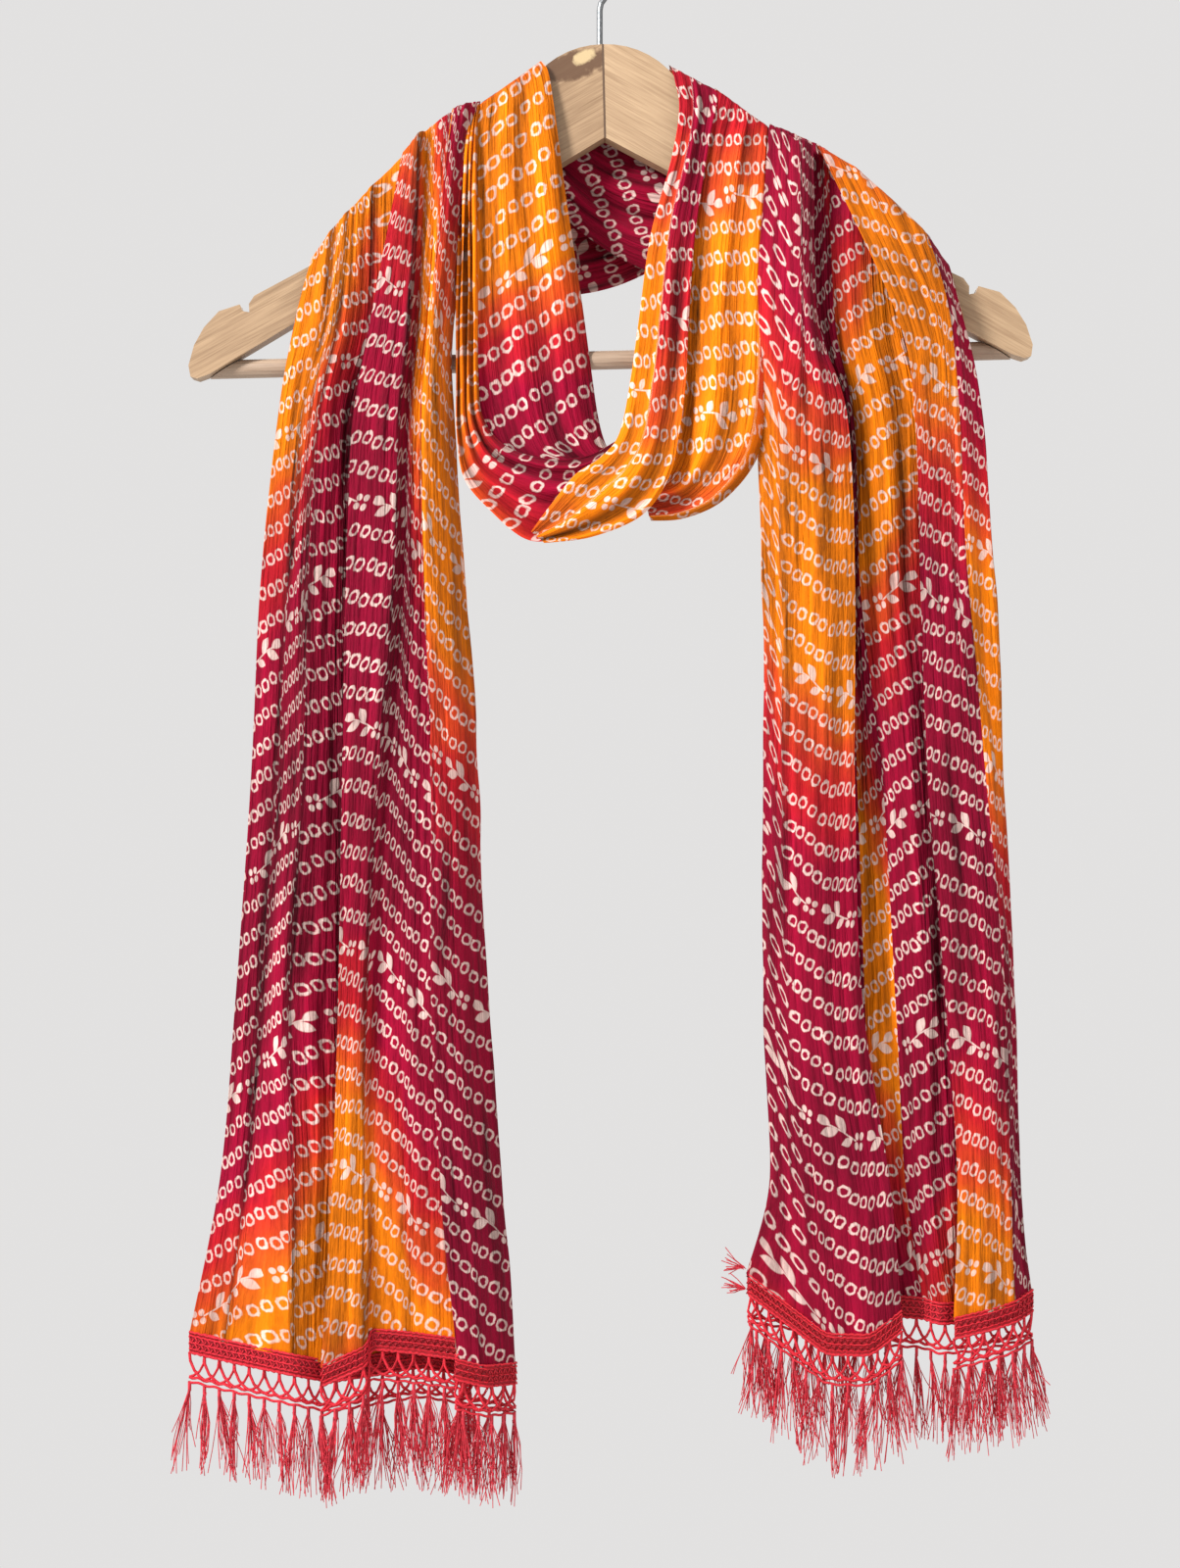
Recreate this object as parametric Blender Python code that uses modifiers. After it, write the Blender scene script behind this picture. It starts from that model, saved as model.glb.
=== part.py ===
# Crinkled stole wound over a wooden trouser-bar hanger.
# Metres, +Z up, the front faces -Y. The origin is the seat inside the top of the hook.
import math

import bmesh
import bpy
from mathutils import Vector

# Sizes in millimetres
MM = 0.001
WALL = 1.1
SEAM_GAP = 0.6
RIDGE_GAP = 0.3
TILT = math.radians(1.4)
SWEEP = 0.06
WOOD_THICK = 12.0
HUMP_RADIUS = 47.7
HUMP_CENTRE_Z = -109.7
BAR_RADIUS = 5.0
BAR_Z = -231.0
BAR_FORWARD = 8.5
WIRE_RADIUS = 1.6
CROOK_RADIUS = 17.6
STEM_FOOT_Z = -61.6
CORNER = 4.0
SHOULDER = 8.4
DROP = 1.5
HEADING = 9.0
LATTICE = 11.0
LATTICE_PITCH = 13.0
CORD = 3.0
FRINGE = 46.0
STRAND_PITCH = 5.2

# Half outline of the hanger from the notch round the tip: distance from the middle, height
TIP_OUTLINE = (
    (157.2, -177.9), (187.7, -193.7), (190.6, -198.0), (190.5, -202.4), (194.0, -201.8), (195.5, -198.2),
    (206.5, -201.7), (214.5, -210.1), (219.9, -219.4), (223.1, -230.1), (222.2, -236.0), (218.8, -237.1),
    (212.2, -234.8), (0.0, -111.7),
)

# Heights between the hem and the shoulder at which each fold line is placed
LEVELS = (-664.0, -571.0, -457.0, -353.0, -265.0, -213.0)

# Left hanging end, one row for each fold line in the order of the cloth.
# name, hem (x, z), x at LEVELS, ridge (x, z, out), depth in front of the hanger
LEFT_FOLDS = (
    ("side", (-216, -746), (-200, -192, -184, -179, -170, -161), (-153, -179, 0.3), 12),
    ("crease", (-197, -750), (-186, -179, -170, -164, -157, -146), (-142, -164, 0.3), 15),
    ("ridge", (-160, -757), (-160, -163, -156, -153, -148, -138), (-133, -156, 0.3), 21),
    ("valley", (-142, -763), (-138, -137, -136, -136, -133, -122), (-120, -142, 0.3), 11),
    ("behind", (-95, -756), (-95, -95, -96, -97, -98, -98), (-95, -120, 0.3), 10),
    ("right_side", (-43, -764), (-50, -58, -62, -69, -76, -76), (-68, -95, 0.3), 15),
    ("right_mid", (-60, -762), (-67, -74, -76, -81, -84, -83), (-71, -93, 6), 31),
    ("right_lap", (-77, -757), (-84, -90, -90, -94, -96, -91), (-79, -98, 7), 33),
    ("tuck", (-66, -750), (-70, -76, -76, -80, -85, -84), (-75, -98, 4), 24),
    ("inner", (-100, -746), (-100, -101, -100, -98, -98, -93), (-86, -107, 4), 20),
    ("step_low", (-121, -744), (-120, -119, -113, -105, -102, -97), (-92, -113, 4), 19),
    ("step_top", (-123, -752), (-122, -121, -115, -107, -104, -99), (-95, -114, 7), 26),
    ("lap_edge", (-146, -762), (-140, -137, -135, -133, -129, -120), (-105, -125, 5), 25),
)

# Right hanging end, the same columns
RIGHT_FOLDS = (
    ("lap_edge", (157, -732), (151, 137, 133, 133, 129, 114), (112, -117, 7), 29),
    ("lap_mid", (140, -744), (134, 121, 118, 118, 115, 108), (109, -116, 8), 34),
    ("lap_turn", (118, -744), (110, 101, 99, 99, 98, 103), (106, -116, 7), 32),
    ("left_side", (76, -714), (87, 84, 84, 84, 85, 93), (99.5, -115, 0.3), 20),
    ("recess", (150, -728), (143, 140, 136, 132, 128, 114), (115, -122, 0.3), 11),
    ("inner_step", (170, -728), (161, 156, 149, 137, 133, 124), (121, -126, 0.3), 15),
    ("inner_mid", (178, -730), (170, 167, 160, 150, 145, 135), (135, -138, 0.3), 21),
    ("valley", (198, -730), (198, 192, 186, 180, 176, 166), (155, -156, 0.3), 12),
    ("right_side", (228, -722), (221, 219, 214, 209, 203, 193), (186, -184.2, 0.3), 17),
    ("step", (216, -727), (214, 211, 202, 192, 188, 183), (172, -168, 5), 27),
    ("outer_mid", (202, -731), (201, 197, 186, 180, 176, 170), (138, -137, 7), 30),
    ("outer_lap", (184, -736), (186, 180, 171, 167, 164, 155), (118, -121, 6), 28),
)

# Strands of the neck loop, one row for each station from the shoulder on.
# first edge (x, z), second edge (x, z), depth, roundness
LOOP_LEFT = (
    ((-61, -94), (-31, -71), 0.3, 0),
    ((-62, -101), (-27, -80), 10, 1),
    ((-68.5, -117), (-22, -114), 14, 4),
    ((-71, -153), (-17, -153), 16, 6),
    ((-72.3, -198), (-10, -198), 17, 7),
    ((-73, -239), (-5, -239), 19, 7),
    ((-72, -270), (-1, -267), 22, 7),
    ((-67, -301), (1, -273), 24, 7),
    ((-48, -323), (5, -278), 25, 6),
    ((-27, -328), (10, -282), 25, 5),
    ((-8, -324), (17, -290), 24, 3),
)
LOOP_BAND = (
    ((37, -72), (60, -85), 0.3, 0),
    ((40, -84), (60, -95), 10, 1),
    ((42, -99), (57, -110), 13, 2),
    ((38, -125), (53, -134), 16, 4),
    ((27, -166), (49.5, -169), 19, 4),
    ((21, -208), (46.5, -209), 22, 5),
    ((16, -245), (45.5, -246), 28, 5),
    ((10, -274), (40, -275), 35, 5),
    ((0, -287), (36, -297), 38, 6),
    ((-13, -296), (22, -317), 39, 6),
    ((-26, -312), (-4, -328), 38, 4),
    ((-36, -325), (-29, -331), 35, 1),
)
LOOP_RIGHT = (
    ((62, -86), (95, -111), 0.3, 0),
    ((62, -96), (95, -118), 10, 1),
    ((60, -110), (95, -133), 13, 3),
    ((56, -136), (94, -159), 14, 4),
    ((51, -170), (92, -190), 15, 6),
    ((48, -209), (88, -212), 17, 7),
    ((47, -246), (84, -243), 22, 7),
    ((44, -272), (80, -274), 24, 7),
    ((41, -289), (73, -292), 25, 6),
    ((37, -296), (59, -308), 25, 4),
    ((31, -297), (44, -316), 24, 3),
    ((25, -300), (27, -315), 22, 1),
)

# Stretches behind the neck: left ridge ends, right ridge ends, lowest and highest line, shoulder, depth
BACK_INNER = ((-61, -94), (-31, -71), (186, -184.2), (99.5, -115), (-184, -122), 8.6, 10.5)
BACK_OUTER = ((-153, -179), (-68, -95), (95, -111), (37, -72), (-205, -128), 20.0, 24.0)

COLOURS = {
    "tail": (0.55, 0.06, 0.03, 1.0),
    "loop": (0.62, 0.14, 0.02, 1.0),
    "back": (0.22, 0.008, 0.02, 1.0),
    "trim": (0.26, 0.01, 0.02, 1.0),
    "wood": (0.5, 0.33, 0.2, 1.0),
    "steel": (0.55, 0.54, 0.52, 1.0),
}


def lean(x):
    """How far the swept arms stand forward at this distance from the middle."""
    return SWEEP * abs(x)


def place(x, z, out):
    """A point out millimetres in front of the hanger's middle plane."""
    return Vector((x, -(out + lean(x)), z))


def catmull(points, t):
    """A smooth curve through the points, t running from 0 to 1."""
    span = t * (len(points) - 1)
    i = min(int(span), len(points) - 2)
    f = span - i
    p1 = points[i]
    p2 = points[i + 1]
    p0 = points[i - 1] if i > 0 else p1
    p3 = points[i + 2] if i + 2 < len(points) else p2
    low = 2 * p1 + (p2 - p0) * f
    high = (2 * p0 - 5 * p1 + 4 * p2 - p3) * f * f
    return (low + high + (3 * p1 - p0 - 3 * p2 + p3) * f ** 3) * 0.5


def rounded(points, corner):
    """The section through the fold points, its corners rounded off."""
    section = [points[0]]
    for i in range(1, len(points) - 1):
        before = points[i - 1] - points[i]
        after = points[i + 1] - points[i]
        a = points[i] + before * min(corner / before.length, 0.35)
        b = points[i] + after * min(corner / after.length, 0.35)
        section.append(a)
        section.append(a * 0.25 + points[i] * 0.5 + b * 0.25)
        section.append(b)
    section.append(points[-1])
    return section


def fold_line(row):
    """Control points of one fold from the ridge down to the hem."""
    name, hem, xs, ridge, depth = row
    line = [place(ridge[0], ridge[1], ridge[2])]
    shoulder = ridge[2] + 0.62 * (depth - ridge[2])
    line.append(place(ridge[0], ridge[1] - DROP, max(shoulder, SHOULDER)))
    for x, z in reversed(list(zip(xs, LEVELS))):
        line.append(place(x, z, depth))
    line.append(place(hem[0], hem[1], depth))
    return line


def tail_rows(folds, count):
    lines = [fold_line(row) for row in folds]
    return [rounded([catmull(line, k / count) for line in lines], CORNER) for k in range(count + 1)]


def strand_rows(stations, count, columns):
    """Sections of a strand that bulges forward, with a soft pleat along it."""
    rows = []
    a, b, depth, bulge = stations[0]
    shoulder = ((a[0], a[1] - DROP), (b[0], b[1] - DROP), SHOULDER, bulge)
    stations = stations[:1] + (shoulder,) + stations[1:]
    ends_a = [place(a[0], a[1], depth) for a, b, depth, bulge in stations]
    ends_b = [place(b[0], b[1], depth) for a, b, depth, bulge in stations]
    bulges = [bulge for a, b, depth, bulge in stations]
    for k in range(count + 1):
        t = k / count
        a = catmull(ends_a, t)
        b = catmull(ends_b, t)
        bulge = catmull(bulges, t)
        row = []
        for c in range(columns + 1):
            w = c / columns
            out = bulge * (math.sin(math.pi * w) ** 0.7 + 0.28 * math.cos(5.0 * math.pi * w))
            row.append(a.lerp(b, w) + Vector((0, -out, 0)))
        rows.append(row)
    return rows


def back_rows(stretch, count, columns):
    """A pleated stretch slung behind the neck from one arm to the other."""
    left_low, left_high, right_low, right_high, heights, shoulder, depth = stretch
    lines = []
    for c in range(columns + 1):
        w = c / columns
        left = Vector(left_low).lerp(Vector(left_high), w)
        right = Vector(right_low).lerp(Vector(right_high), w)
        middle = heights[0] + (heights[1] - heights[0]) * w
        pleat = 3.0 * (1 + math.cos(5 * math.pi * w))
        line = [Vector((left.x, RIDGE_GAP - lean(left.x), left.y))]
        line.append(Vector((left.x + 0.5, shoulder - lean(left.x), left.y - 1.0)))
        for f in (0.15, 0.32, 0.5, 0.68, 0.85):
            x = left.x + (right.x - left.x) * f
            ends = left.y + (right.y - left.y) * f
            drape = math.sin(math.pi * f) ** 0.9
            hung = depth + pleat * drape - lean(x) * (1 - drape)
            line.append(Vector((x, hung, ends + (middle - ends) * drape)))
        line.append(Vector((right.x - 0.5, shoulder - lean(right.x), right.y - 1.0)))
        line.append(Vector((right.x, RIDGE_GAP - lean(right.x), right.y)))
        lines.append(line)
    return [[catmull(line, k / count) for line in lines] for k in range(count + 1)]


def new_object(name, mesh, look):
    obj = bpy.data.objects.new(name, mesh)
    stole.objects.link(obj)
    obj.data.materials.append(material(name, look))
    return obj


def material(name, look):
    mat = bpy.data.materials.new(name + "_material")
    mat.use_nodes = True
    shader = mat.node_tree.nodes["Principled BSDF"]
    shader.inputs["Base Color"].default_value = COLOURS[look]
    shader.inputs["Roughness"].default_value = 0.3 if look == "steel" else 0.8
    shader.inputs["Metallic"].default_value = 1.0 if look == "steel" else 0.0
    return mat


def sheet(name, rows, look, wall=WALL):
    """A cloth wall: the loft through the rows, thickened evenly about it."""
    bm = bmesh.new()
    grid = [[bm.verts.new(point * MM) for point in row] for row in rows]
    for upper, lower in zip(grid, grid[1:]):
        for c in range(len(upper) - 1):
            bm.faces.new((upper[c], lower[c], lower[c + 1], upper[c + 1]))
    mesh = bpy.data.meshes.new(name)
    bm.to_mesh(mesh)
    bm.free()
    obj = new_object(name, mesh, look)
    thicken(obj, wall)
    return obj


def thicken(obj, wall):
    solid = obj.modifiers.new("wall", "SOLIDIFY")
    solid.thickness = wall * MM
    solid.offset = 0.0
    solid.use_even_offset = False


class Hem:
    """The edge of a tail, walked by the length along it."""

    def __init__(self, points):
        self.points = points
        self.lengths = [0.0]
        for a, b in zip(points, points[1:]):
            self.lengths.append(self.lengths[-1] + (b - a).length)

    def at(self, distance, drop):
        i = 1
        while i < len(self.points) - 1 and self.lengths[i] < distance:
            i += 1
        a = self.points[i - 1]
        b = self.points[i]
        f = (distance - self.lengths[i - 1]) / (self.lengths[i] - self.lengths[i - 1])
        point = a.lerp(b, min(max(f, 0.0), 1.0))
        return point + Vector((0, 0, -drop))


def braid(name, hem):
    """Heading band over a zigzag lattice whose gaps are cut through."""
    bm = bmesh.new()
    pitches = int(hem.lengths[-1] / LATTICE_PITCH)
    pitch = hem.lengths[-1] / pitches
    half = 0.9
    top = SEAM_GAP * 1.5
    band = top + HEADING
    foot = band + LATTICE - 2.2

    def row(drop, shift):
        stations = [0.0]
        for k in range(pitches):
            middle = (k + shift) * pitch
            if middle > half:
                stations.append(middle - 2 * half)
                stations.append(middle)
            stations.append(middle + 2 * half)
        stations.append(hem.lengths[-1])
        if shift == 0.0:
            stations = stations[1:]
            stations.insert(0, 0.0)
        return [bm.verts.new(hem.at(s, drop) * MM) for s in stations]

    upper = row(top, 0.5)
    lower = row(band, 0.5)
    for c in range(len(upper) - 1):
        bm.faces.new((upper[c], lower[c], lower[c + 1], upper[c + 1]))
    rail_top = row(foot, 0.5)
    rail_foot = row(foot + 2.2, 0.5)
    for c in range(len(rail_top) - 1):
        bm.faces.new((rail_top[c], rail_foot[c], rail_foot[c + 1], rail_top[c + 1]))
    for k in range(pitches):
        i = 1 + 3 * k
        bm.faces.new((lower[i], rail_top[i], rail_top[i + 1], lower[i + 1]))
    bm.faces.new((lower[-2], rail_top[-2], rail_top[-1], lower[-1]))
    mesh = bpy.data.meshes.new(name)
    bm.to_mesh(mesh)
    bm.free()
    obj = new_object(name, mesh, "trim")
    thicken(obj, 1.2)
    return obj


def fringe(name, hem):
    """A cord along the lattice with tassel strands hanging from it."""
    bm = bmesh.new()
    start = SEAM_GAP * 3.1 + HEADING + LATTICE
    count = int(hem.lengths[-1] / STRAND_PITCH)
    step = hem.lengths[-1] / count
    half = 0.55
    rings = []
    for k in range(count + 1):
        for side in (0.3, 0.7):
            if k == count:
                continue
            s = (k + side) * step
            centre = hem.at(s, start)
            ahead = hem.at(min(s + 0.6, hem.lengths[-1]), 0)
            behind = hem.at(max(s - 0.6, 0), 0)
            along = (ahead - behind).normalized()
            normal = Vector((along.y, -along.x, 0)).normalized() * half
            ring = [centre + normal, centre - normal]
            ring += [centre - normal - Vector((0, 0, CORD)), centre + normal - Vector((0, 0, CORD))]
            rings.append([bm.verts.new(point * MM) for point in ring])
    for i, (near, far) in enumerate(zip(rings, rings[1:])):
        for side in range(4):
            if side == 2 and i % 2 == 0:
                continue
            nxt = (side + 1) % 4
            bm.faces.new((near[side], near[nxt], far[nxt], far[side]))
        if i % 2 == 0:
            strand(bm, near, far, i // 2)
    bm.faces.new(list(reversed(rings[0])))
    bm.faces.new(rings[-1])
    bmesh.ops.recalc_face_normals(bm, faces=bm.faces)
    mesh = bpy.data.meshes.new(name)
    bm.to_mesh(mesh)
    bm.free()
    return new_object(name, mesh, "trim")


def strand(bm, near, far, number):
    """One four-sided tassel strand drawn out of the cord's underside."""
    roots = [near[2], near[3], far[3], far[2]]
    middle = sum((v.co for v in roots), Vector()) / 4
    length = (FRINGE - 7.0 * (0.5 + 0.5 * math.sin(number * 2.4))) * MM
    sway = Vector((math.sin(number * 1.7), math.cos(number * 2.9), 0)) * 0.5 * MM
    previous = roots
    for drop, scale in ((0.45, 1.0), (1.0, 0.75)):
        ring = []
        for root in roots:
            offset = (root.co - middle) * scale
            ring.append(bm.verts.new(middle + offset + sway * drop - Vector((0, 0, length * drop))))
        for c in range(4):
            n = (c + 1) % 4
            bm.faces.new((previous[c], ring[c], ring[n], previous[n]))
        previous = ring
    bm.faces.new(previous)


def tilted(point):
    """Turn a point of the hanger about the hook, right end up."""
    x = point[0] * math.cos(TILT) - point[1] * math.sin(TILT)
    z = point[0] * math.sin(TILT) + point[1] * math.cos(TILT)
    return x, z


def half_outline(side):
    outline = []
    for k in range(14):
        angle = math.radians(90 + 100 * k / 13)
        x = HUMP_RADIUS * math.cos(angle)
        outline.append((side * max(-x, 0.15), HUMP_CENTRE_Z + HUMP_RADIUS * math.sin(angle)))
    for distance, height in TIP_OUTLINE:
        outline.append((side * max(distance, 0.15), height))
    return outline


def arm(name, side):
    curve = bpy.data.curves.new(name + "_outline", "CURVE")
    curve.dimensions = "2D"
    curve.fill_mode = "BOTH"
    curve.extrude = WOOD_THICK * 0.5 * MM
    outline = half_outline(side)
    spline = curve.splines.new("POLY")
    spline.points.add(len(outline) - 1)
    for point, (x, z) in zip(spline.points, outline):
        point.co = (x * MM, z * MM, 0, 1)
    spline.use_cyclic_u = True
    flat = bpy.data.objects.new(name + "_flat", curve)
    stole.objects.link(flat)
    graph = bpy.context.evaluated_depsgraph_get()
    mesh = bpy.data.meshes.new_from_object(flat.evaluated_get(graph))
    bpy.data.objects.remove(flat)
    bm = bmesh.new()
    bm.from_mesh(mesh)
    bmesh.ops.remove_doubles(bm, verts=bm.verts, dist=0.00002)
    for vert in bm.verts:
        x, z = tilted((vert.co.x, vert.co.y))
        depth = vert.co.z
        vert.co = Vector((x, -depth - SWEEP * abs(x), z))
    bmesh.ops.recalc_face_normals(bm, faces=bm.faces)
    bm.to_mesh(mesh)
    bm.free()
    return new_object(name, mesh, "wood")


def trouser_bar():
    """The dowel, its ends cut to the slope of the arms' undersides."""
    bm = bmesh.new()
    bmesh.ops.create_cone(
        bm, cap_ends=True, segments=16, radius1=BAR_RADIUS * MM, radius2=BAR_RADIUS * MM, depth=0.44)
    for vert in bm.verts:
        across, deep, along = vert.co
        x = along / MM
        turned = tilted((x, across / MM + BAR_Z))
        vert.co = Vector((turned[0] * MM, deep - BAR_FORWARD * MM, turned[1] * MM))
    for side in (-1, 1):
        a = tilted((side * 212.2, -234.8 - 0.7))
        b = tilted((0.0, -111.7 - 0.7))
        slope = Vector((b[0] - a[0], 0, b[1] - a[1])).normalized()
        normal = Vector((-slope.z, 0, slope.x))
        if normal.z < 0:
            normal = -normal
        geometry = bm.verts[:] + bm.edges[:] + bm.faces[:]
        plane = Vector((a[0], 0, a[1])) * MM
        bmesh.ops.bisect_plane(bm, geom=geometry, plane_co=plane, plane_no=normal, clear_outer=True)
        rim = [edge for edge in bm.edges if edge.is_boundary]
        bmesh.ops.holes_fill(bm, edges=rim, sides=0)
    bmesh.ops.recalc_face_normals(bm, faces=bm.faces)
    mesh = bpy.data.meshes.new("trouser_bar")
    bm.to_mesh(mesh)
    bm.free()
    obj = new_object("trouser_bar", mesh, "wood")
    return obj


def hook():
    curve = bpy.data.curves.new("hook", "CURVE")
    curve.dimensions = "3D"
    curve.bevel_depth = WIRE_RADIUS * MM
    curve.bevel_resolution = 2
    curve.use_fill_caps = True
    centre_z = WIRE_RADIUS - CROOK_RADIUS
    path = [(0, STEM_FOOT_Z), (0, -50), (0, -42), (0.7, -38.5), (3.2, -35)]
    for k in range(20):
        angle = math.radians(-58 + 268 * k / 19)
        path.append((CROOK_RADIUS * math.cos(angle), centre_z + CROOK_RADIUS * math.sin(angle)))
    spline = curve.splines.new("POLY")
    spline.points.add(len(path) - 1)
    for point, (x, z) in zip(spline.points, path):
        point.co = (x * MM, 0, z * MM, 1)
    obj = bpy.data.objects.new("hook", curve)
    stole.objects.link(obj)
    obj.data.materials.append(material("hook", "steel"))
    return obj


for old in list(bpy.data.objects):
    bpy.data.objects.remove(old, do_unlink=True)
stole = bpy.data.collections.new("dupatta_stole")
bpy.context.scene.collection.children.link(stole)

left = tail_rows(LEFT_FOLDS, 17)
right = tail_rows(RIGHT_FOLDS, 17)
sheet("tail_left", left, "tail")
sheet("tail_right", right, "tail")
sheet("loop_left", strand_rows(LOOP_LEFT, 20, 10), "loop")
sheet("loop_band", strand_rows(LOOP_BAND, 22, 7), "loop")
sheet("loop_right", strand_rows(LOOP_RIGHT, 18, 9), "loop")
sheet("back_inner", back_rows(BACK_INNER, 18, 10), "back")
sheet("back_outer", back_rows(BACK_OUTER, 18, 10), "back")
braid("braid_left", Hem(left[-1]))
braid("braid_right", Hem(right[-1]))
fringe("fringe_left", Hem(left[-1]))
fringe("fringe_right", Hem(right[-1]))
arm("arm_left", -1)
arm("arm_right", 1)
trouser_bar()
hook()
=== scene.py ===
# The looks of a crinkled, printed stole wound over a wooden hanger.
import math

import bmesh
import bpy
import numpy as np
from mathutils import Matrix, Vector


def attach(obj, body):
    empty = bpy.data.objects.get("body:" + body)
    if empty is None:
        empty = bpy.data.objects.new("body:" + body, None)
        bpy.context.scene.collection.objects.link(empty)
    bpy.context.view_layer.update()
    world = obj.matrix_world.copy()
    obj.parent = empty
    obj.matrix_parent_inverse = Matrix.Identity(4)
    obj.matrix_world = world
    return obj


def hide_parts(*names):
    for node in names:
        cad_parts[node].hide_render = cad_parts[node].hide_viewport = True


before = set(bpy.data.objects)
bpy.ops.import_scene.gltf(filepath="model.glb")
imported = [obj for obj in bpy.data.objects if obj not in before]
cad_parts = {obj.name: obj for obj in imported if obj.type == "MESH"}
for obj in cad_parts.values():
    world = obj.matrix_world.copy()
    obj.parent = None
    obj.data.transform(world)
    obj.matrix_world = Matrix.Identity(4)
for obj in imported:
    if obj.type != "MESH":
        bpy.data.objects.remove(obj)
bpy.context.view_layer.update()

# Sizes in millimetres, the same as the solids
MM = 0.001
SWEEP = 0.06
CORNER = 4.0
SHOULDER = 8.4
DROP = 1.5
RIDGE_GAP = 0.3
PRINT_SLOPE = 0.5
LEVELS = (-664.0, -571.0, -457.0, -353.0, -265.0, -213.0)
SHOULDER_SHARE = 0.62
TAIL_ROWS = 262
TAIL_SPACING = 1.9
BACK_ROWS = 120
BACK_COLUMNS = 60
FLARE_HEIGHT = 170
FLARE_EDGE = -262
FLARE_WIDTH = 34
# Crease height that spans the painted shade in the cloth colour from darkest to lightest
CREASE_SHADE_RANGE = 3.6

# name, hem (x, z), x at LEVELS, ridge (x, z, out), depth, cloth coordinate before and after the fold
LEFT_FOLDS = (
    ("side", (-216, -746), (-200, -192, -184, -179, -170, -161), (-153, -179, 0.3), 12, (0, 0)),
    ("crease", (-197, -750), (-186, -179, -170, -164, -157, -146), (-142, -164, 0.3), 15, (24, 40)),
    ("ridge", (-160, -757), (-160, -163, -156, -153, -148, -138), (-133, -156, 0.3), 21, (82, 98)),
    ("valley", (-142, -763), (-138, -137, -136, -136, -133, -122), (-120, -142, 0.3), 11, (122, 128)),
    ("behind", (-95, -756), (-95, -95, -96, -97, -98, -98), (-95, -120, 0.3), 10, (140, 140)),
    ("right_side", (-43, -764), (-50, -58, -62, -69, -76, -76), (-63, -100, 0.3), 15, (170, -345)),
    ("right_mid", (-60, -762), (-67, -74, -76, -81, -84, -83), (-73, -104.5, 6), 31, (-322, -322)),
    ("right_lap", (-77, -757), (-84, -90, -90, -94, -96, -91), (-79, -107, 7), 33, (-300, 60)),
    ("tuck", (-66, -750), (-70, -76, -76, -80, -85, -84), (-76, -106, 4), 24, (78, 72)),
    ("inner", (-100, -746), (-100, -101, -100, -98, -98, -93), (-86, -111, 4), 20, (110, 110)),
    ("step_low", (-121, -744), (-120, -119, -113, -105, -102, -97), (-92, -117, 4), 19, (145, 145)),
    ("step_top", (-123, -752), (-122, -121, -115, -107, -104, -99), (-95, -118, 7), 26, (155, 165)),
    ("lap_edge", (-146, -762), (-140, -137, -135, -133, -129, -120), (-105, -128, 5), 25, (196, 196)),
)
RIGHT_FOLDS = (
    ("lap_edge", (157, -732), (151, 137, 133, 133, 129, 114), (112, -125, 7), 29, (-300, -300)),
    ("lap_mid", (140, -744), (134, 121, 118, 118, 115, 108), (108, -123, 8), 34, (-274, -274)),
    ("lap_turn", (118, -744), (110, 101, 99, 99, 98, 103), (103, -122, 7), 32, (-248, -248)),
    ("left_side", (76, -714), (87, 84, 84, 84, 81, 79), (88, -112, 0.3), 20, (-228, -228)),
    ("recess", (150, -728), (143, 140, 136, 132, 128, 114), (115, -122, 0.3), 11, (-170, 470)),
    ("inner_step", (170, -728), (161, 156, 149, 137, 133, 124), (121, -126, 0.3), 15, (498, 14)),
    ("inner_mid", (178, -730), (170, 167, 160, 150, 145, 135), (135, -138, 0.3), 21, (34, 34)),
    ("valley", (198, -730), (198, 192, 186, 180, 176, 166), (155, -156, 0.3), 12, (66, 66)),
    ("right_side", (228, -722), (221, 219, 214, 209, 203, 193), (186, -184.2, 0.3), 17, (100, -410)),
    ("step", (216, -727), (214, 211, 202, 192, 188, 183), (172, -168, 5), 27, (-380, 0)),
    ("outer_mid", (202, -731), (201, 197, 186, 180, 176, 170), (138, -137, 7), 30, (24, 24)),
    ("outer_lap", (184, -736), (186, 180, 171, 167, 164, 155), (117, -125, 6), 28, (48, 48)),
)

# Dye shift in mm at the hem and at the shoulder, one pair for each fold line
LEFT_SHIFTS = (
    (45, 0), (40, -15), (30, -50), (0, -90), (0, 0), (0, -150), (0, -140),
    (0, -140), (60, 40), (60, 40), (20, -70), (0, -90), (0, -90),
)
RIGHT_SHIFTS = (
    (0, 0), (0, 0), (0, 0), (0, 0), (0, 0), (90, 90),
    (90, 90), (30, 30), (0, 0), (0, 0), (0, 0), (0, 0),
)

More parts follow.
